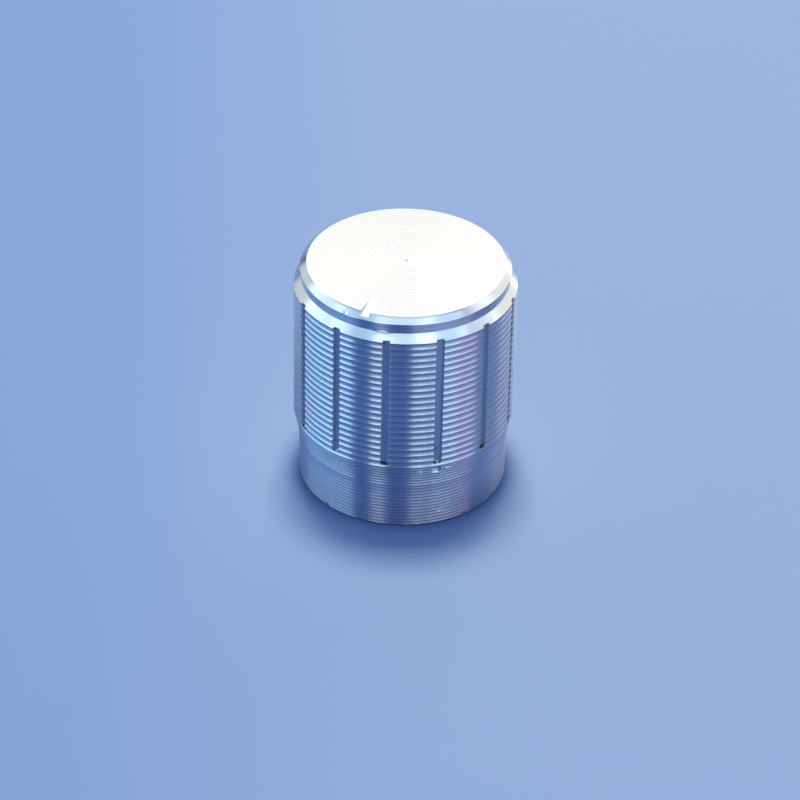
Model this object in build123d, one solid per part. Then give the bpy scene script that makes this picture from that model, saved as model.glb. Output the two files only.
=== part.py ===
from build123d import *
import os

# A press-on potentiometer knob: a turned aluminium shell with a ridged and slotted grip,
# pressed over a moulded insert whose toothed socket holds a knurled shaft.
# Millimetres. +Z runs up the knob's axis. The origin is the middle of the rim that it
# stands on, and the pointer notch in the top edge faces -Y.

# Heights of the shell, from the rim upwards
overall_height = 16.7
skirt_height = 3.4
taper_height = 1.7
shoulder_height = 0.5
neck_height = 0.7
crown_chamfer_height = 0.4

# Widths of the shell, as the grip's diameter and how far each band is set in from it
grip_diameter = 15.0
skirt_step = 0.4
neck_step = 0.5
crown_step = 0.4
crown_chamfer_width = 0.44
rim_break = 0.12

# Ridges turned round the grip
ridge_pitch = 0.475
groove_depth = 0.07

# Slots sawn down the grip
slot_count = 13
slot_width = 0.52
slot_depth = 0.25
slot_foot_rise = 0.15
slot_head_rise = 0.12

# Pointer notch milled into the top edge, deepest at the rim
pointer_width = 0.62
pointer_length = 1.6
pointer_depth = 0.2

# Inside of the shell
skirt_wall = 0.8
ceiling_thickness = 2.0

# Insert: outer sleeve, web under the ceiling, and the boss round the socket
insert_recess = 2.0
web_thickness = 1.5
boss_wall = 1.1
pocket_width = 0.8
rib_count = 4
rib_thickness = 0.8
rib_height = 4.0
slit_width = 0.7
slit_depth = 7.0
insert_edge_break = 0.2

# Socket for a 6 mm shaft with 18 teeth
shaft_diameter = 6.0
shaft_clearance = 0.2
lead_in_depth = 1.5
lead_in_chamfer = 0.3
tooth_count = 18
tooth_height = 0.25
tooth_tip_share = 0.4
tooth_root_share = 0.3

# How far a cutter runs past the face that it breaks out of
overrun = 0.5

grip_radius = grip_diameter / 2
skirt_radius = grip_radius - skirt_step
neck_radius = grip_radius - neck_step
crown_radius = grip_radius - crown_step
top_face_radius = crown_radius - crown_chamfer_width
bore_radius = skirt_radius - skirt_wall

ceiling_z = overall_height - ceiling_thickness
crown_edge_z = overall_height - crown_chamfer_height
neck_foot_z = crown_edge_z - neck_height
grip_top_z = neck_foot_z - shoulder_height
grip_foot_z = skirt_height + taper_height
web_z = ceiling_z - web_thickness

socket_root_radius = shaft_diameter / 2
socket_tip_radius = socket_root_radius - tooth_height
lead_in_radius = socket_root_radius + shaft_clearance
boss_radius = lead_in_radius + boss_wall
pocket_radius = boss_radius + pocket_width


def turned(outline):
    """Spin a closed outline of (radius, height) points once round the Z axis."""
    face = make_face(Polyline(outline, close=True))
    return revolve(Plane.XZ * face, Axis.Z, 360)


def disc(radius, foot, top):
    """A plain round bar on the Z axis from one height to another."""
    return Pos(0, 0, foot) * extrude(Circle(radius), top - foot)


def ridge_outline():
    """The grip's outline from its foot to its top: sharp ridges with a V groove between each two."""
    groove_count = max(1, round((grip_top_z - grip_foot_z) / ridge_pitch))
    spacing = (grip_top_z - grip_foot_z) / groove_count
    points = [(grip_radius, grip_foot_z)]
    for groove in range(groove_count):
        foot = grip_foot_z + groove * spacing
        points.append((grip_radius - groove_depth, foot + spacing / 2))
        points.append((grip_radius, foot + spacing))
    return points


def shell_blank():
    """The turned shell before slotting: rim, skirt, taper, ridged grip, neck and crown."""
    outline = [
        (bore_radius + rim_break, 0),
        (skirt_radius - rim_break, 0),
        (skirt_radius, rim_break),
        (skirt_radius, skirt_height),
    ]
    outline += ridge_outline()
    outline += [
        (neck_radius, neck_foot_z),
        (neck_radius, crown_edge_z),
        (crown_radius, crown_edge_z),
        (top_face_radius, overall_height),
        (0, overall_height),
        (0, ceiling_z),
        (bore_radius, ceiling_z),
        (bore_radius, rim_break),
    ]
    return turned(outline)


def slot_cutters():
    """Saw cuts down the grip, evenly spaced, with the pointer midway between two of them."""
    foot = grip_foot_z + slot_foot_rise
    head = grip_top_z + slot_head_rise
    reach = grip_radius + overrun
    half_width = slot_width / 2 * reach / grip_radius
    sector = make_face(Polyline([(0, 0), (reach, -half_width), (reach, half_width)], close=True))
    core = disc(grip_radius - slot_depth, foot, head)
    cutter = Pos(0, 0, foot) * extrude(sector, head - foot) - core
    pitch = 360 / slot_count
    return [Rot(0, 0, -90 + (index + 0.5) * pitch) * cutter for index in range(slot_count)]


def pointer_cutter():
    """A wedge that leaves a notch with a sloping floor, deepest where it leaves the rim."""
    inner = top_face_radius - pointer_length
    reach = pointer_length + crown_chamfer_width + overrun
    fall = pointer_depth * reach / pointer_length
    outline = [(inner, 0), (inner + reach, 0), (inner + reach, -fall)]
    wedge = extrude(Plane.XZ * make_face(Polyline(outline, close=True)), pointer_width / 2, both=True)
    return Rot(0, 0, -90) * Pos(0, 0, overall_height) * wedge


def knob_shell():
    """The aluminium shell with its slots and its pointer notch."""
    return shell_blank() - slot_cutters() - pointer_cutter()


def socket_bore():
    """The hole up the boss: chamfered mouth, plain lead-in, then teeth for the shaft."""
    mouth_z = insert_recess
    teeth_z = mouth_z + lead_in_depth
    pitch = 360 / tooth_count
    plain = disc(lead_in_radius, mouth_z, teeth_z) + disc(socket_tip_radius, teeth_z, web_z)
    mouth = turned(
        [
            (0, mouth_z),
            (lead_in_radius + lead_in_chamfer, mouth_z),
            (lead_in_radius, mouth_z + lead_in_chamfer),
            (0, mouth_z + lead_in_chamfer),
        ]
    )
    gap_half_angle = pitch * (1 - tooth_tip_share) / 2
    root_half_angle = pitch * tooth_root_share / 2
    tip = Vector(socket_tip_radius, 0)
    root = Vector(socket_root_radius, 0)
    corners = [
        tip.rotate(Axis.Z, -gap_half_angle),
        root.rotate(Axis.Z, -root_half_angle),
        root.rotate(Axis.Z, root_half_angle),
        tip.rotate(Axis.Z, gap_half_angle),
    ]
    edges = [
        Line(corners[0], corners[1]),
        ThreePointArc(corners[1], root, corners[2]),
        Line(corners[2], corners[3]),
        Line(corners[3], Vector(0, 0)),
        Line(Vector(0, 0), corners[0]),
    ]
    gap = Pos(0, 0, teeth_z) * extrude(make_face(edges), web_z - teeth_z)
    gaps = [Rot(0, 0, index * pitch) * gap for index in range(tooth_count)]
    return plain + mouth + gaps


def pocket():
    """The ring of air between the boss and the sleeve, less the short ribs under the web."""
    ring = disc(pocket_radius, insert_recess, web_z) - disc(boss_radius, insert_recess, web_z)
    rib = Pos(0, 0, web_z - rib_height) * Box(
        pocket_radius + overrun,
        rib_thickness,
        rib_height,
        align=(Align.MIN, Align.CENTER, Align.MIN),
    )
    ribs = [Rot(0, 0, index * 360 / rib_count) * rib for index in range(rib_count)]
    return ring - ribs


def boss_slits():
    """A cut across the boss, so that its two halves spring apart over the shaft."""
    return Pos(0, 0, insert_recess) * Box(
        2 * (boss_radius + pocket_width / 2),
        slit_width,
        slit_depth,
        align=(Align.CENTER, Align.CENTER, Align.MIN),
    )


def shaft_insert():
    """The moulded insert: sleeve, web, ribs and split boss with the toothed socket."""
    body = disc(bore_radius, insert_recess, ceiling_z)
    foot_edge = body.edges().filter_by(GeomType.CIRCLE).sort_by(Axis.Z)[0]
    body = chamfer(foot_edge, insert_edge_break)
    return body - socket_bore() - pocket() - boss_slits()


os.makedirs("parts", exist_ok=True)
export_step(knob_shell(), "parts/knob_shell.step")
export_step(shaft_insert(), "parts/shaft_insert.step")
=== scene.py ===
"""Dresses a small turned aluminium control knob and sets it on a plain pale table.

The shell is remade with its tool marks, sawn slots and knocks, and stands for the solid shell.
The moulded insert keeps its solid and gets its finish. Sizes of the knob are in millimetres,
and every mesh is brought to metres when it is finished.
"""

import logging
import math
from dataclasses import dataclass
from enum import Enum

import bmesh
import bpy
from mathutils import Matrix, Vector


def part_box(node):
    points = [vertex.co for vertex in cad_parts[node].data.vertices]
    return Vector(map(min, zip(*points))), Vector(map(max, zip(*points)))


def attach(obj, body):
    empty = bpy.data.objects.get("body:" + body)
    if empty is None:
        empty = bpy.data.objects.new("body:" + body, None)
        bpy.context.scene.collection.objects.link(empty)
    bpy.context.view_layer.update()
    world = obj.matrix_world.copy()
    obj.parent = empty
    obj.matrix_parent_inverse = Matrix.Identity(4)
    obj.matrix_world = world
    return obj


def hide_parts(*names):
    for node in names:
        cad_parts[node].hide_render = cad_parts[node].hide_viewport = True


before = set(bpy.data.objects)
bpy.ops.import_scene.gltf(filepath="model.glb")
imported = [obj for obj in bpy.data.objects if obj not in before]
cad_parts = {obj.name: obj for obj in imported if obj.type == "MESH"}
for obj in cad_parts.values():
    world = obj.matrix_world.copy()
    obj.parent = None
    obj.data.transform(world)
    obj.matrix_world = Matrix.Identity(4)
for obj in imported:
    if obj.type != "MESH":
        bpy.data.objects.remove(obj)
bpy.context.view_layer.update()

log = logging.getLogger("knob")

# One millimetre in metres. The four lengths after it are in millimetres.
MM = 0.001
# The narrow strip that two cuts close together leave, where a wall is pressed in
HAIR = 0.01
# Corners this close are at the same place, are merged, or snap to a cut
SAME_PLACE = 0.001
MERGED = 0.0005
SNAPPED = 0.0001
# How far sideways a face's normal points where the face is a wall
STEEP = 0.7
# The stretch that holds most of a noise pattern's values
NOISE_LOW = 0.3
NOISE_HIGH = 0.7
# Where a mixing node has its two colours and its answer
MIX_COLOURS = slice(6, 8)
MIX_RESULT = 2
# An area light's watts for a radiance and an area of one
WATTS = 4

Colour = tuple[float, float, float]
Outline = list[tuple[float, float]]


class ShellFace(Enum):
    """The finishes on the shell's mesh, by the number of their material slot."""

    TURNED = 0
    FACED = 1
    SAWN = 2


class Graph:
    """The nodes of one material, with short ways to add and join them."""

    def __init__(self, name: str) -> None:
        """Starts a material that holds one shader.

        Args:
            name: The material's name.
        """
        self.material = bpy.data.materials.new(name)
        self.material.use_nodes = True
        self.nodes = self.material.node_tree.nodes
        self.links = self.material.node_tree.links
        self.shader = self.nodes["Principled BSDF"]

    def add(self, kind: str, *values: object, **settings: object) -> bpy.types.Node:
        """Adds a node.

        Args:
            kind: The node's type, without its common first word.
            *values: What goes into its inputs in turn: a socket to join, a plain value, or None.
            **settings: The node's own options.

        Returns:
            The new node.
        """
        node = self.nodes.new("ShaderNode" + kind)
        for option, choice in settings.items():
            setattr(node, option, choice)
        for socket, value in zip(node.inputs, values):
            self.feed(socket, value)
        return node

    def feed(self, socket: bpy.types.NodeSocket, value: object) -> None:
        """Joins a socket to another, or sets its own value.

        Args:
            socket: The input.
            value: A socket, a plain value, or None to leave it be.
        """
        if isinstance(value, bpy.types.NodeSocket):
            self.links.new(value, socket)
        elif value is not None:
            socket.default_value = value

    def math(self, operation: str, *values: object) -> bpy.types.NodeSocket:
        """Works one sum on numbers.

        Args:
            operation: The name of the sum.
            *values: Its terms, as sockets or numbers.

        Returns:
            The answer's socket.
        """
        return self.add("Math", *values, operation=operation).outputs[0]

    def ramp(self, value: object, low: float, high: float, start: float, end: float) -> bpy.types.NodeSocket:
        """Maps a stretch of values smoothly to another.

        Args:
            value: The socket to read.
            low: Where the stretch starts.
            high: Where it ends.
            start: The answer at its start.
            end: The answer at its end.

        Returns:
            The answer's socket.
        """
        node = self.add("MapRange", value, low, high, start, end, interpolation_type="SMOOTHSTEP")
        return node.outputs[0]

    def blend(self, share: object, *colours: object) -> bpy.types.NodeSocket:
        """Mixes two colours.

        Args:
            share: How much of the second colour there is.
            *colours: The first colour and the second, each a socket or a plain colour.

        Returns:
            The mixed colour's socket.
        """
        node = self.add("Mix", data_type="RGBA")
        self.feed(node.inputs[0], share)
        for socket, colour in zip(node.inputs[MIX_COLOURS], colours):
            self.feed(socket, (*colour, 1.0) if isinstance(colour, tuple) else colour)
        return node.outputs[MIX_RESULT]

    def place(self) -> bpy.types.NodeSocket:
        """Gives the place on the knob in millimetres."""
        metres = self.add("TexCoord").outputs["Object"]
        return self.add("Mapping", metres, None, None, (1 / MM, 1 / MM, 1 / MM)).outputs[0]

    def noise(self, place: bpy.types.NodeSocket, scale: float, detail: float = 2.0) -> bpy.types.NodeSocket:
        """Adds a noise pattern.

        Args:
            place: Where the pattern is read.
            scale: How many of its waves there are to each unit of the place.
            detail: How many finer layers it has.

        Returns:
            The pattern's socket.
        """
        node = self.add("TexNoise", place)
        self.feed(node.inputs["Scale"], scale)
        self.feed(node.inputs["Detail"], detail)
        return node.outputs[0]

    def bump(self, pattern: bpy.types.NodeSocket, depth: float) -> bpy.types.NodeSocket:
        """Makes a pattern a fine relief.

        Args:
            pattern: The socket of the pattern.
            depth: How deep the relief is, in millimetres.

        Returns:
            The socket of the relief's normal.
        """
        node = self.add("Bump")
        self.feed(node.inputs["Distance"], depth * MM)
        self.feed(node.inputs["Height"], pattern)
        return node.outputs[0]

    def set(self, **values: object) -> None:
        """Feeds the shader's inputs, named with underlines for their spaces."""
        for name, value in values.items():
            self.feed(self.shader.inputs[name.replace("_", " ")], value)


@dataclass(frozen=True)
class TurnedAluminium:
    """Bare aluminium as the lathe left it, brushed round the axis by the tool."""

    name: str = "turned_aluminium"
    colour: Colour = (0.76, 0.80, 0.84)
    roughness: float = 0.27
    roughness_spread: float = 0.05
    grain: float = 0.97
    grain_turn: float = 0.25
    mark_pitch: float = 0.07
    mark_detail: float = 3.0
    mark_depth: float = 0.0006

    def material(self) -> bpy.types.Material:
        """Builds the material.

        Returns:
            The finished material.
        """
        graph = Graph(self.name)
        x, y, z = graph.add("SeparateXYZ", graph.place()).outputs
        flat = graph.add("CombineXYZ", x, y, 0.0).outputs[0]
        radius = graph.add("VectorMath", flat, operation="LENGTH").outputs["Value"]
        along = graph.math("SUBTRACT", z, radius)
        tool = graph.add("TexNoise", noise_dimensions="1D")
        graph.feed(tool.inputs["W"], graph.math("DIVIDE", along, self.mark_pitch))
        graph.feed(tool.inputs["Scale"], 1.0)
        graph.feed(tool.inputs["Detail"], self.mark_detail)
        marks = tool.outputs[0]
        roughest = self.roughness + self.roughness_spread
        tangent = graph.add("CombineXYZ", graph.math("MULTIPLY", y, -1.0), x, 0.0).outputs[0]
        graph.set(
            Base_Color=(*self.colour, 1.0),
            Metallic=1.0,
            Roughness=graph.ramp(marks, NOISE_LOW, NOISE_HIGH, self.roughness, roughest),
            Anisotropic=self.grain,
            Anisotropic_Rotation=self.grain_turn,
            Normal=graph.bump(marks, self.mark_depth),
            Tangent=tangent,
        )
        return graph.material


@dataclass(frozen=True)
class SawnAluminium:
    """The rougher, greyer floors and walls of the sawn slots, with dirt towards their foot."""

    foot: float
    name: str = "sawn_aluminium"
    colour: Colour = (0.66, 0.69, 0.72)
    dirt: Colour = (0.13, 0.075, 0.045)
    roughness: float = 0.42
    grit_scale: float = 6.0
    grit_depth: float = 0.01
    dirt_roughness: float = 0.8
    dirt_height: float = 0.22
    dirt_at_foot: float = 0.22
    dirt_from: float = 0.66
    dirt_full: float = 0.72
    speck_scale: float = 2.6
    speck_detail: float = 3.0

    def material(self) -> bpy.types.Material:
        """Builds the material.

        Returns:
            The finished material.
        """
        graph = Graph(self.name)
        place = graph.place()
        height = graph.add("SeparateXYZ", place).outputs["Z"]
        grit = graph.noise(place, self.grit_scale)
        specks = graph.noise(place, self.speck_scale, self.speck_detail)
        low = graph.ramp(height, self.foot, self.foot + self.dirt_height, self.dirt_at_foot, 0.0)
        soiled = graph.ramp(graph.math("ADD", specks, low), self.dirt_from, self.dirt_full, 0.0, 1.0)
        graph.set(
            Base_Color=graph.blend(soiled, self.colour, self.dirt),
            Metallic=graph.math("SUBTRACT", 1.0, soiled),
            Roughness=graph.ramp(soiled, 0.0, 1.0, self.roughness, self.dirt_roughness),
            Normal=graph.bump(grit, self.grit_depth),
        )
        return graph.material


@dataclass(frozen=True)
class MouldedPlastic:
    """Off-white moulded plastic with a faintly uneven skin."""

    name: str = "moulded_plastic"
    colour: Colour = (0.83, 0.82, 0.77)
    roughness: float = 0.45
    roughness_spread: float = 0.12
    grain_per_metre: float = 900.0
    grain_depth: float = 0.02

    def material(self) -> bpy.types.Material:
        """Builds the material.

        Returns:
            The finished material.
        """
        graph = Graph(self.name)
        grain = graph.noise(graph.add("TexCoord").outputs["Object"], self.grain_per_metre)
        roughest = self.roughness + self.roughness_spread
        graph.set(
            Base_Color=(*self.colour, 1.0),
            Roughness=graph.ramp(grain, NOISE_LOW, NOISE_HIGH, self.roughness, roughest),
            Normal=graph.bump(grain, self.grain_depth),
        )
        return graph.material


@dataclass(frozen=True)
class TableTop:
    """The plain pale blue of the table, with painted shade near the knob, to the left and in reflections.

    A painted contact shadow darkens it where the knob stands close, a painted falloff makes it darker
    and bluer towards the left, and glossy rays see a dimmer colour, so the metal mirrors a painted
    dark table.

    Its lengths are in millimetres. Past the knob, from bare_from to bare_full, the painted dark
    reflection fades and the metal mirrors the table's own colour again.
    """

    name: str = "table_top"
    colour: Colour = (0.385, 0.505, 0.64)
    # Painted falloff: the darker, bluer colour that the table takes towards the left, in place of light
    # falling off
    far_left: Colour = (0.30, 0.45, 0.625)
    # Painted contact shadow: the dark blue that the table takes where the knob stands close
    painted_contact_shade: Colour = (0.13, 0.22, 0.42)
    # Painted shade in the reflections: the dark colours that only glossy rays see, so the metal mirrors a
    # painted dark table, paler to the right
    mirrored: Colour = (0.02, 0.09, 0.32)
    painted_reflection_shade_right: Colour = (0.13, 0.21, 0.42)
    paler_from: float = 7.5
    paler_over: float = 2.0
    bare_from: float = 12.0
    bare_full: float = 24.0
    roughness: float = 0.7
    fade: float = 26.0
    # How far the painted contact shadow reaches, in millimetres, and the occlusion at which it is full and
    # at which it is gone
    shade_reach: float = 2.5
    shade_full: float = 0.5
    shade_none: float = 0.95
    shade_samples: int = 8

    def material(self) -> bpy.types.Material:
        """Builds the material.

        Returns:
            The finished material.
        """
        graph = Graph(self.name)
        place = graph.add("TexCoord").outputs["Object"]
        view = facing(View().turn, 0.0, 0.0).to_3x3()
        ways = (view @ Vector((1, 0, 0)), view @ Vector((0, 0, -1)))
        across, behind = (
            graph.add("VectorMath", place, way, operation="DOT_PRODUCT").outputs["Value"] for way in ways
        )
        # Painted falloff: the table darkens and turns bluer towards the left over the fade
        left = graph.ramp(across, -self.fade * MM, 0.0, 1.0, 0.0)
        bare = graph.blend(left, self.colour, self.far_left)
        # Painted contact shadow: ambient occlusion darkens the table's colour near the knob's foot
        hidden = graph.add("AmbientOcclusion", samples=self.shade_samples)
        graph.feed(hidden.inputs["Distance"], self.shade_reach * MM)
        shade = graph.ramp(hidden.outputs["AO"], self.shade_full, self.shade_none, 1.0, 0.0)
        bare = graph.blend(shade, bare, self.painted_contact_shade)
        # Painted dark reflection: glossy rays see a dark table, paler to the knob's right, which fades to
        # the bare colour behind the knob
        paler_full = self.paler_from + self.paler_over
        paler = graph.ramp(across, self.paler_from * MM, paler_full * MM, 0.0, 1.0)
        mirrored = graph.blend(paler, self.mirrored, self.painted_reflection_shade_right)
        far = graph.ramp(behind, self.bare_from * MM, self.bare_full * MM, 0.0, 1.0)
        mirrored = graph.blend(far, mirrored, bare)
        seen = graph.blend(graph.add("LightPath").outputs["Is Glossy Ray"], bare, mirrored)
        graph.set(Base_Color=seen, Roughness=self.roughness)
        return graph.material


def near_place(face: bmesh.types.BMFace, half_width: float, behind: float, low: float) -> bool:
    """Tells whether a face lies in the block of space round the pointer notch.

    Args:
        face: The face.
        half_width: How far the block reaches to each side of X nought.
        behind: Where the block ends on Y.
        low: The block's lower end.

    Returns:
        Whether the face's middle is in the block.
    """
    middle = face.calc_center_median()
    return abs(middle.x) < half_width and middle.y < behind and middle.z > low


def put_in_order(mesh: bmesh.types.BMesh) -> None:
    """Sorts the edges and faces by their corners, because a spin lists them anew in each run.

    Args:
        mesh: The mesh, with its corners in order.
    """
    mesh.verts.index_update()
    count = len(mesh.verts)

    def edge_key(edge: bmesh.types.BMEdge) -> int:
        """Gives an edge's place, the same for both of its directions."""
        first, last = sorted(corner.index for corner in edge.verts)
        return first * count + last

    def face_key(face: bmesh.types.BMFace) -> int:
        """Gives a face's place, from three of its corners."""
        first, second, third = (corner.index for corner in face.verts[:3])
        return (first * count + second) * count + third

    mesh.edges.sort(key=edge_key)
    mesh.faces.sort(key=face_key)


def feed_marks(count: int, depth: float) -> list[tuple[float, float]]:
    """Lists the points of the shallow marks that a tool's even feed leaves.

    Args:
        count: How many marks there are.
        depth: How deep they are.

    Returns:
        Each point's place, counted in marks from the start, and its depth.
    """
    shape = ((1 / 3, depth), (2 / 3, depth), (1.0, 0.0))
    return [(mark + share, cut) for mark in range(count) for share, cut in shape]


def edge_middle(edge: bmesh.types.BMEdge) -> Vector:
    """Gives the middle of an edge."""
    return (edge.verts[0].co + edge.verts[1].co) / 2


@dataclass(frozen=True)
class Knock:
    """A nick, chip or dent, or a burr where its depth is below zero.

    Its turn is in degrees from -Y, and its lengths are in millimetres. The mesh gets its extra
    cuts as far out as the margin past the knock.
    """

    turn: float
    radius: float
    height: float
    half_width: float
    half_height: float
    depth: float
    cuts: int = 3
    margin: float = 0.15

    def strike(self, mesh: bmesh.types.BMesh) -> None:
        """Makes the mesh finer about the knock, then presses it in.

        Args:
            mesh: The mesh to mark.
        """
        turn = math.radians(self.turn)
        out = Vector((math.sin(turn), -math.cos(turn), 0))
        side = Vector((math.cos(turn), math.sin(turn), 0))
        middle = out * self.radius + Vector((0, 0, self.height))
        reach = max(self.half_width, self.half_height) + self.margin
        # An edge's middle says the same whichever of its corners comes first
        near = [edge for edge in mesh.edges if (edge_middle(edge) - middle).length < reach]
        bmesh.ops.subdivide_edges(mesh, edges=near, cuts=self.cuts, use_grid_fill=True)
        for corner in mesh.verts:
            offset = corner.co - middle
            if offset.length > reach:
                continue
            across = offset.dot(side) / self.half_width
            up = offset.z / self.half_height
            share = max(0.0, 1 - across**2 - up**2)
            corner.co -= out * (self.depth * share)


@dataclass
class KnobShell:
    """The turned shell: rim, skirt, taper, ridged and slotted grip, neck, crown and notch."""

    height: float
    grip_radius: float
    skirt_height: float = 3.4
    taper_height: float = 1.7
    taper_ease: float = 0.9
    shoulder_height: float = 0.5
    neck_height: float = 0.7
    crown_chamfer_height: float = 0.4
    skirt_step: float = 0.4
    neck_step: float = 0.5
    crown_step: float = 0.4
    crown_chamfer_width: float = 0.44
    crown_chamfer_steps: int = 4
    rim_break: float = 0.12
    skirt_wall: float = 0.8
    ceiling_thickness: float = 2.0
    groove_count: int = 21
    groove_depth: float = 0.06
    groove_steps: int = 6
    crest_width: float = 0.04
    line_pitch: float = 0.26
    line_depth: float = 0.018
    taper_line_depth: float = 0.03
    neck_line_depth: float = 0.01
    ring_pitch: float = 0.31
    ring_depth: float = 0.010
    slot_count: int = 13
    slot_width: float = 0.52
    slot_depth: float = 0.25
    slot_foot_rise: float = 0.15
    slot_head_rise: float = 0.12
    slot_head_round: float = 0.06
    slot_edge_break: float = 0.04
    slot_wall_lean: float = 0.015
    slot_skin: float = 0.1
    land_steps: int = 14
    floor_steps: int = 3
    edge_break: float = 0.035
    pip_radius: float = 0.16
    pip_depth: float = 0.03
    pointer_width: float = 0.62
    pointer_length: float = 1.6
    pointer_depth: float = 0.2
    pointer_wall_lean: float = 0.012
    pointer_beside: float = 0.5
    pointer_behind: float = 0.4
    sharp_angle: float = 18.0

    def outside(self) -> Outline:
        """Draws the shell's outline from the inside of the ceiling round to the top's centre.

        Returns:
            The outline's points as radius and height.
        """
        skirt = self.skirt_radius
        bore = skirt - self.skirt_wall
        ceiling = self.height - self.ceiling_thickness
        points = [(0.0, ceiling), (bore, ceiling), (bore, self.rim_break), (bore + self.rim_break, 0.0)]
        points += [(skirt - self.rim_break, 0.0), (skirt, self.rim_break)]
        points += self.turned_lines(self.rim_break, self.skirt_height, self.line_depth)
        points += self.turned_lines(self.skirt_height, self.grip_foot, self.taper_line_depth)
        points += self.ridges()
        points += self.crown()
        return points

    @property
    def skirt_radius(self) -> float:
        """The plain skirt's radius."""
        return self.grip_radius - self.skirt_step

    @property
    def crown_radius(self) -> float:
        """The radius of the crown below its chamfer."""
        return self.grip_radius - self.crown_step

    @property
    def face(self) -> float:
        """The flat top's radius."""
        return self.crown_radius - self.crown_chamfer_width

    @property
    def neck(self) -> float:
        """The neck's radius."""
        return self.grip_radius - self.neck_step

    @property
    def crown_foot(self) -> float:
        """Where the neck ends and the crown's chamfer starts."""
        return self.height - self.crown_chamfer_height

    @property
    def grip_foot(self) -> float:
        """Where the ridges start."""
        return self.skirt_height + self.taper_height

    @property
    def neck_foot(self) -> float:
        """Where the shoulder meets the neck."""
        return self.crown_foot - self.neck_height

    @property
    def grip_top(self) -> float:
        """Where the ridges end."""
        return self.neck_foot - self.shoulder_height

    def plain_radius(self, height: float) -> float:
        """Gives the radius of the plain skirt, which eases into the taper, or of the neck.

        Args:
            height: How high up the knob.

        Returns:
            The radius there.
        """
        if height > self.grip_top:
            return self.neck
        slope = self.skirt_step / self.taper_height
        past = height - self.skirt_height
        rise = slope * max(past, 0.0)
        if abs(past) < self.taper_ease:
            rise = slope * (past + self.taper_ease) ** 2 / (4 * self.taper_ease)
        return self.skirt_radius + rise

    def turned_lines(self, low: float, high: float, depth: float) -> Outline:
        """Draws the fine lines that the tool's feed leaves on the skirt, the taper and the neck.

        Args:
            low: Where the stretch starts, which is left out.
            high: Where the stretch ends.
            depth: How deep the lines are.

        Returns:
            The points of the stretch.
        """
        lines = round((high - low) / self.line_pitch)
        points = []
        for place, cut in feed_marks(lines, depth):
            height = low + (high - low) * place / lines
            points.append((self.plain_radius(height) - cut, height))
        return points

    def ridges(self) -> Outline:
        """Draws the ridges up the grip, with a round groove between each two.

        Returns:
            The points from the grip's foot to its top.
        """
        pitch = (self.grip_top - self.grip_foot) / self.groove_count
        half = (pitch - self.crest_width) / 2
        bend = (half**2 / self.groove_depth + self.groove_depth) / 2
        reach = math.asin(half / bend)
        root = self.grip_radius - self.groove_depth
        points = []
        for groove in range(self.groove_count):
            middle = self.grip_foot + (groove + 0.5) * pitch
            for step in range(self.groove_steps + 1):
                turn = reach * (2 * step / self.groove_steps - 1)
                points.append((root + bend * (1 - math.cos(turn)), middle + bend * math.sin(turn)))
        points.append((self.grip_radius, self.grip_top))
        return points

    def crown(self) -> Outline:
        """Draws the shoulder, the neck, the crown's chamfer and the ringed top face.

        Returns:
            The points from the shoulder to the top's centre.
        """
        points = [(self.neck, self.neck_foot)]
        points += self.turned_lines(self.neck_foot, self.crown_foot, self.neck_line_depth)
        points.append((self.crown_radius, self.crown_foot))
        for step in range(1, self.crown_chamfer_steps + 1):
            way = step / self.crown_chamfer_steps
            radius = self.crown_radius - self.crown_chamfer_width * way
            points.append((radius, self.crown_foot + self.crown_chamfer_height * way))
        flat = self.face - self.pip_radius
        rings = round(flat / self.ring_pitch)
        for place, cut in feed_marks(rings, self.ring_depth):
            points.append((self.face - flat * place / rings, self.height - cut))
        points.append((self.pip_radius / 2, self.height - self.pip_depth))
        points.append((0.0, self.height - self.pip_depth / 2))
        return points

    def build(self) -> bpy.types.Object:
        """Makes the shell's mesh.

        Returns:
            The shell, in metres.
        """
        mesh = bmesh.new()
        self.draw(mesh)
        self.spin(mesh)
        self.saw_slots(mesh)
        self.mill_pointer(mesh)
        for knock in self.knocks():
            knock.strike(mesh)
        bmesh.ops.recalc_face_normals(mesh, faces=mesh.faces)
        return finish_mesh(mesh, "turned_shell", self.sharp_angle)

    def draw(self, mesh: bmesh.types.BMesh) -> None:
        """Lays the outline as a chain of edges at the first land's edge.

        Args:
            mesh: The empty mesh.
        """
        corners = [mesh.verts.new((radius, 0.0, height)) for radius, height in self.outside()]
        for lower, upper in zip(corners, corners[1:]):
            mesh.edges.new((lower, upper))
        crown_edge = Vector((self.crown_radius, 0, self.crown_foot))
        face_edge = Vector((self.face, 0, self.height))
        broken = [
            corner
            for corner in corners
            if min((corner.co - edge).length for edge in (crown_edge, face_edge)) < SAME_PLACE
        ]
        bmesh.ops.bevel(
            mesh,
            geom=broken,
            offset=self.edge_break,
            segments=2,
            profile=0.5,
            affect="VERTICES",
            material=-1,
        )
        drops = (self.slot_head_round, self.slot_head_round - HAIR, HAIR, 0)
        levels = [self.slot_foot - HAIR, self.slot_foot + HAIR]
        levels += [self.slot_head - drop for drop in drops]
        for height in levels:
            chain = mesh.verts[:] + mesh.edges[:]
            bmesh.ops.bisect_plane(mesh, geom=chain, plane_co=(0, 0, height), plane_no=(0, 0, 1))
        turn = Matrix.Rotation(-math.pi / 2 - self.land_angle / 2, 3, "Z")
        bmesh.ops.rotate(mesh, cent=(0, 0, 0), matrix=turn, verts=mesh.verts)

    @property
    def slot_foot(self) -> float:
        """How low the slots reach."""
        return self.grip_foot + self.slot_foot_rise

    @property
    def slot_head(self) -> float:
        """How high the slots reach, just past the grip's top edge."""
        return self.grip_top + self.slot_head_rise

    @property
    def pitch_angle(self) -> float:
        """The turn from one slot to the next."""
        return 2 * math.pi / self.slot_count

    @property
    def land_angle(self) -> float:
        """The turn across a land, between the broken edges of two slots."""
        return self.pitch_angle - (self.slot_width + 2 * self.slot_edge_break) / self.grip_radius

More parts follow.
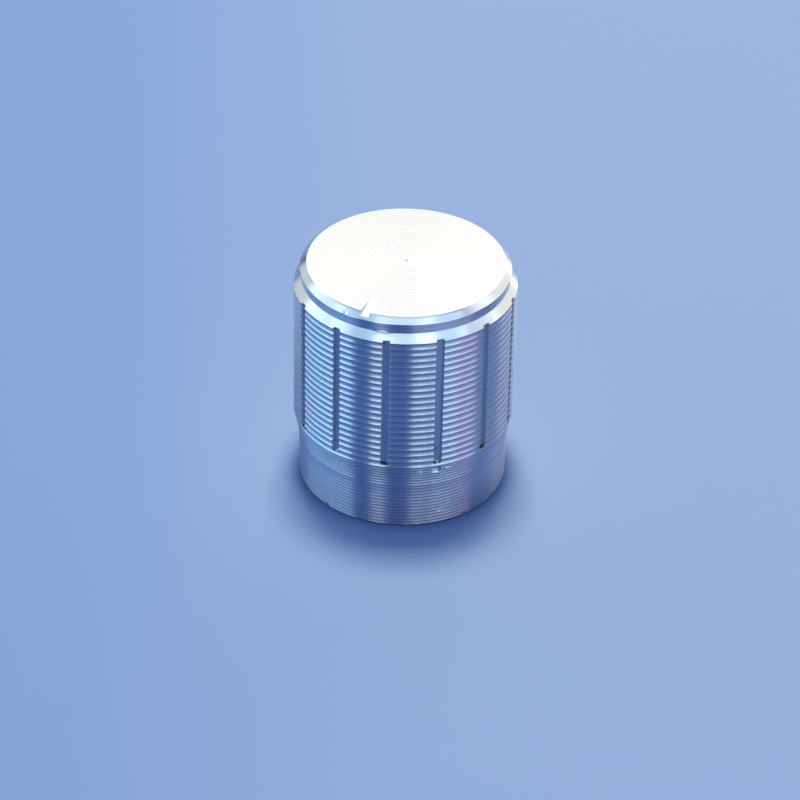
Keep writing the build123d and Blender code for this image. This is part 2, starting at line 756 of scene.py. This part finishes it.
    def spin(self, mesh: bmesh.types.BMesh) -> None:
        """Spins the outline once round, over each land and each slot in turn.

        Args:
            mesh: The mesh that holds the outline.
        """
        edge = self.slot_edge_break / self.grip_radius
        wall = self.slot_wall_lean / self.grip_radius
        floor = self.pitch_angle - self.land_angle - 2 * edge - 2 * wall
        spans = [(self.land_angle, self.land_steps), (edge, 1), (wall, 1)]
        spans += [(floor, self.floor_steps), (wall, 1), (edge, 1)]
        last = mesh.verts[:] + mesh.edges[:]
        for _ in range(self.slot_count):
            for angle, steps in spans:
                spun = bmesh.ops.spin(
                    mesh, geom=last, cent=(0, 0, 0), axis=(0, 0, 1), angle=angle, steps=steps
                )
                last = spun["geom_last"]
        bmesh.ops.remove_doubles(mesh, verts=mesh.verts, dist=MERGED)
        put_in_order(mesh)

    def saw_slots(self, mesh: bmesh.types.BMesh) -> None:
        """Presses the slots' columns in to their floors and breaks their edges.

        Args:
            mesh: The spun mesh.
        """
        floor = self.grip_radius - self.slot_depth
        for corner in mesh.verts:
            radius = math.hypot(corner.co.x, corner.co.y)
            across = self.off_slot(corner.co) * self.grip_radius
            head = self.slot_head - HAIR / 2
            if across > self.slot_width / 4:
                head -= self.slot_head_round - HAIR
            if radius <= floor or not self.slot_foot < corner.co.z < head:
                continue
            if across < self.slot_width / 2 - self.slot_wall_lean / 2:
                depth = radius - floor
            elif across < self.slot_width / 2 + self.slot_edge_break / 2:
                depth = min(self.slot_edge_break, radius - floor)
            else:
                continue
            corner.co.xy *= (radius - depth) / radius
        for face in mesh.faces:
            face.material_index = self.finish_at(face.calc_center_median()).value

    def mill_pointer(self, mesh: bmesh.types.BMesh) -> None:
        """Mills the pointer notch into the top's front edge, deepest where it leaves the chamfer.

        Args:
            mesh: The slotted mesh.
        """
        half = self.pointer_width / 2
        inner = self.face - self.pointer_length
        fall = self.pointer_depth / self.pointer_length
        start = Vector((0, -inner, self.height))
        leans = (0.0, self.pointer_wall_lean)
        cuts = [(Vector((side * (half + lean), 0, 0)), (1, 0, 0)) for side in (-1, 1) for lean in leans]
        cuts += [(start, (0, 1, 0)), (start, (0, -fall, 1))]
        low = self.crown_foot - HAIR
        block = (half + self.pointer_beside, self.pointer_behind - inner, low)
        for place, normal in cuts:
            near = [face for face in mesh.faces if near_place(face, *block)]
            # Each listed once and always in the same order, so that every run cuts alike
            edges = dict.fromkeys(edge for face in near for edge in face.edges)
            corners = dict.fromkeys(corner for face in near for corner in face.verts)
            geometry = [*near, *edges, *corners]
            bmesh.ops.bisect_plane(mesh, geom=geometry, dist=SNAPPED, plane_co=place, plane_no=normal)
        for corner in mesh.verts:
            if abs(corner.co.x) > half + SAME_PLACE or corner.co.y > -inner or corner.co.z < low:
                continue
            floor = self.height + fall * (corner.co.y + inner)
            corner.co.z = min(corner.co.z, floor)
        mesh.normal_update()
        for face in mesh.faces:
            if near_place(face, half + 2 * HAIR, -inner, low) and abs(face.normal.x) > STEEP:
                face.material_index = ShellFace.SAWN.value

    def knocks(self) -> list[Knock]:
        """Lists the nicks, dents, burr and chips that the knob has picked up.

        Returns:
            The knocks, in the order in which they are struck.
        """
        crown, taper, skirt = self.crown_radius, self.grip_radius - 0.1, self.skirt_radius
        crown_nicks = [
            Knock(-11, crown - 0.02, self.crown_foot + 0.02, 0.17, 0.12, 0.06),
            Knock(90.5, crown - 0.2, self.crown_foot + 0.2, 0.12, 0.1, 0.03),
        ]
        taper_dents = [
            Knock(41, taper, 4.7, 0.42, 0.28, 0.13),
            Knock(33.5, taper, 4.68, 0.28, 0.17, 0.08),
            Knock(47.5, taper, 4.72, 0.3, 0.19, 0.08),
        ]
        skirt_nick = Knock(44, skirt, 1.05, 0.1, 0.08, 0.03)
        neck_burr = Knock(12, self.neck, self.neck_foot + 0.02, 0.8, 0.1, -0.035, cuts=2)
        front_chips = [(-60, 0.16), (-46, 0.1), (-22, 0.14), (27, 0.2), (60, 0.18), (78, 0.1)]
        back_chips = [(-140, 0.15), (170, 0.12)]
        rim_chips = [
            Knock(turn, skirt, 0.15, half_width, 0.2, 0.1)
            for turn, half_width in front_chips + back_chips
        ]
        return [*crown_nicks, *taper_dents, skirt_nick, neck_burr, *rim_chips]

    def finish_at(self, place: Vector) -> ShellFace:
        """Tells which finish the shell has at a place on its skin.

        Args:
            place: The place.

        Returns:
            The finish.
        """
        radius = place.xy.length
        outside = radius > self.grip_radius - self.slot_depth - self.slot_skin
        in_slot = self.off_slot(place) * self.grip_radius < self.slot_width / 2
        if in_slot and outside and self.slot_foot - HAIR < place.z < self.slot_head:
            return ShellFace.SAWN
        on_shoulder = self.grip_top < place.z < self.neck_foot and radius > self.neck
        if on_shoulder or place.z > self.crown_foot:
            return ShellFace.FACED
        return ShellFace.TURNED

    def off_slot(self, place: Vector) -> float:
        """Tells how far a place is turned from the nearest slot's middle.

        Args:
            place: The place.

        Returns:
            The turn in radians, never below zero.
        """
        turn = math.atan2(place.y, place.x) + math.pi / 2
        return abs(turn % self.pitch_angle - self.pitch_angle / 2)

    def dress(self, piece: bpy.types.Object) -> None:
        """Gives the shell its finishes and its place on the knob.

        Args:
            piece: The shell's object.
        """
        faced = TurnedAluminium(
            name="faced_aluminium",
            colour=(0.84, 0.85, 0.86),
            roughness=0.2,
            roughness_spread=0.03,
            grain=0.6,
        )
        for finish in (TurnedAluminium(), faced, SawnAluminium(self.slot_foot)):
            piece.data.materials.append(finish.material())
        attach(piece, "root")
        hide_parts("knob_shell")


def finish_mesh(mesh: bmesh.types.BMesh, name: str, sharp: float = 30.0) -> bpy.types.Object:
    """Brings a mesh from millimetres to metres and puts it in the scene.

    Args:
        mesh: The finished mesh, which is used up.
        name: The new object's name.
        sharp: The angle, in degrees, over which an edge stays crisp.

    Returns:
        The new object.
    """
    bmesh.ops.scale(mesh, vec=(MM, MM, MM), verts=mesh.verts)
    data = bpy.data.meshes.new(name)
    mesh.to_mesh(data)
    mesh.free()
    data.shade_smooth()
    data.set_sharp_from_angle(angle=math.radians(sharp))
    piece = bpy.data.objects.new(name, data)
    bpy.context.scene.collection.objects.link(piece)
    return piece


@dataclass
class ShaftInsert:
    """The moulded insert inside the shell, which keeps its solid."""

    node: str = "shaft_insert"

    def dress(self) -> None:
        """Gives the solid its moulded finish."""
        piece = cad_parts[self.node]
        piece.data.materials.clear()
        piece.data.materials.append(MouldedPlastic().material())


@dataclass
class Table:
    """The plain surface that the knob stands on, with its size in metres."""

    half_width: float = 3.0

    def build(self) -> bpy.types.Object:
        """Lays the table.

        Returns:
            The table's object.
        """
        mesh = bmesh.new()
        bmesh.ops.create_grid(mesh, x_segments=1, y_segments=1, size=self.half_width / MM)
        piece = finish_mesh(mesh, "table")
        piece.data.materials.append(TableTop().material())
        return piece


@dataclass(frozen=True)
class Softbox:
    """A flat soft light that faces the knob.

    Its turn from the camera's side, its elevation, its width and its height are in degrees as
    the knob sees them, and its distance is in metres.
    """

    name: str
    turn: float
    elevation: float
    width: float
    height: float
    colour: Colour
    radiance: float
    lights_table: bool = False
    mirrored: bool = True
    distance: float = 0.6

    def hang(self, view_turn: float, aim: Vector) -> None:
        """Puts the light in the scene.

        Args:
            view_turn: How far the camera is turned round the knob, in degrees.
            aim: The point that the light faces, in metres.
        """
        lamp = bpy.data.lights.new(self.name, "AREA")
        lamp.shape = "RECTANGLE"
        lamp.size = 2 * self.distance * math.tan(math.radians(self.width / 2))
        lamp.size_y = 2 * self.distance * math.tan(math.radians(self.height / 2))
        lamp.color = self.colour
        lamp.energy = WATTS * self.radiance * lamp.size * lamp.size_y
        holder = bpy.data.objects.new(self.name, lamp)
        holder.visible_camera = False
        holder.visible_diffuse = self.lights_table
        holder.visible_glossy = self.mirrored
        bpy.context.scene.collection.objects.link(holder)
        place = facing(view_turn + self.turn, self.elevation, 0.0)
        holder.matrix_world = Matrix.Translation(aim) @ place @ Matrix.Translation((0, 0, self.distance))


def facing(turn: float, elevation: float, roll: float) -> Matrix:
    """Turns a camera or a light that looks along its own -Z so that it looks in from a side.

    Args:
        turn: How far it stands round from -Y, towards +X, in degrees.
        elevation: How far up it stands, in degrees.
        roll: How far it is rolled, in degrees.

    Returns:
        The turn as a matrix.
    """
    return (
        Matrix.Rotation(math.radians(turn), 4, "Z")
        @ Matrix.Rotation(math.radians(90 - elevation), 4, "X")
        @ Matrix.Rotation(math.radians(roll), 4, "Z")
    )


@dataclass(frozen=True)
class View:
    """Where the camera stands, in degrees and millimetres from the knob's middle, and its lens."""

    turn: float = 23.0
    elevation: float = 35.02
    roll: float = 1.12
    distance: float = 240.0
    middle_height: float = 8.5
    shift_right: float = 0.2686
    shift_up: float = 2.5266
    lens: float = 158.89
    sensor_width: float = 36.0
    nearest: float = 10.0

    def place(self) -> None:
        """Sets up the camera."""
        turn = facing(self.turn, self.elevation, self.roll)
        offset = Vector((-self.shift_right, -self.shift_up, self.distance)) * MM
        camera = bpy.data.objects.new("camera", bpy.data.cameras.new("camera"))
        camera.data.lens = self.lens
        camera.data.sensor_width = self.sensor_width
        camera.data.clip_start = self.nearest * MM
        bpy.context.scene.collection.objects.link(camera)
        middle = Vector((0, 0, self.middle_height)) * MM
        camera.matrix_world = Matrix.Translation(middle) @ turn @ Matrix.Translation(offset)
        bpy.context.scene.camera = camera


@dataclass(frozen=True)
class Studio:
    """The soft lights and the dim room that the bare metal reflects."""

    sky: Colour = (0.05, 0.13, 0.46)
    room: Colour = (0.03, 0.075, 0.2)

    def softboxes(self) -> list[Softbox]:
        """Lists the lights, each with its turn, elevation, width, height, colour and radiance.

        Returns:
            The light on the table first, then what the metal mirrors, from above and from the side.
        """
        warm = (1.0, 0.99, 0.93)
        white = (0.98, 1.0, 0.98)
        day = (0.84, 0.94, 1.0)
        cool = (0.60, 0.83, 1.0)
        return [
            Softbox("key_box", 180, 77, 14, 14, warm, 29.0, lights_table=True, mirrored=False),
            Softbox("back_box", 180, 36, 28, 34, (1.0, 0.95, 0.77), 0.82),
            Softbox("top_box", 180, 84, 54, 54, day, 0.5),
            Softbox("upper_left", -142, 46, 50, 34, white, 0.45),
            Softbox("upper_right", 136, 46, 62, 36, white, 0.56),
            Softbox("arch_front", 0, 58, 44, 16, (0.74, 0.88, 0.95), 0.95),
            Softbox("arch_left", -52, 51, 54, 16, (0.54, 0.82, 1.0), 0.65),
            Softbox("arch_right", 46, 51, 40, 16, cool, 0.9),
            Softbox("arch_far_left", -92, 36, 56, 22, (0.78, 0.96, 1.0), 0.7),
            Softbox("arch_far_right", 86, 37, 40, 18, day, 0.6),
            Softbox("side_left", -128, 13, 34, 24, (0.97, 1.0, 0.82), 0.5),
            Softbox("side_right", 126, 14, 46, 28, (1.0, 0.96, 0.74), 0.7),
            Softbox("edge_right", 158, 12, 32, 24, (1.0, 0.98, 0.92), 1.5),
            Softbox("left_box", -81, 14, 62, 28, (0.47, 0.77, 1.0), 1.85),
            Softbox("left_strip", -24, 16, 14, 32, day, 1.25),
            Softbox("middle_strip", 16, 16, 16, 32, day, 1.0),
            Softbox("right_strip", 40, 16, 26, 32, (0.76, 0.92, 1.0), 1.24),
            Softbox("pink_strip", 63, 16, 20, 32, (1.0, 0.78, 0.96), 0.85),
        ]

    def set_room(self) -> None:
        """Sets the room's light, which is dimmer where the metal mirrors it."""
        world = bpy.data.worlds.new("room")
        bpy.context.scene.world = world
        world.use_nodes = True
        nodes, links = world.node_tree.nodes, world.node_tree.links
        seen = nodes.new("ShaderNodeMix")
        seen.data_type = "RGBA"
        for socket, colour in zip(seen.inputs[MIX_COLOURS], (self.sky, self.room)):
            socket.default_value = (*colour, 1.0)
        links.new(nodes.new("ShaderNodeLightPath").outputs["Is Glossy Ray"], seen.inputs[0])
        links.new(seen.outputs[MIX_RESULT], nodes["Background"].inputs["Color"])
        bpy.context.scene.view_settings.view_transform = "Standard"

    def light(self, view: View) -> None:
        """Hangs the lights and sets the room.

        Args:
            view: The camera's place, which the lights are turned from.
        """
        aim = Vector((0, 0, view.middle_height)) * MM
        for box in self.softboxes():
            box.hang(view.turn, aim)
        self.set_room()


def main() -> None:
    """Builds and dresses the knob, then the table, the lights and the camera."""
    low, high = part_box("knob_shell")
    # The box's nearest side, so that no point of the shell comes past the solid
    grip_radius = min(high.x, high.y, -low.x, -low.y) / MM
    shell = KnobShell(height=high.z / MM, grip_radius=grip_radius)
    piece = shell.build()
    shell.dress(piece)
    log.info("%s: %d faces", piece.name, len(piece.data.polygons))
    ShaftInsert().dress()
    log.info("shaft_insert: dressed")
    Table().build()
    view = View()
    view.place()
    Studio().light(view)
    log.info("table, lights and camera: in place")


if __name__ == "__main__":
    logging.basicConfig(level=logging.INFO, format="%(name)s %(message)s")
    main()
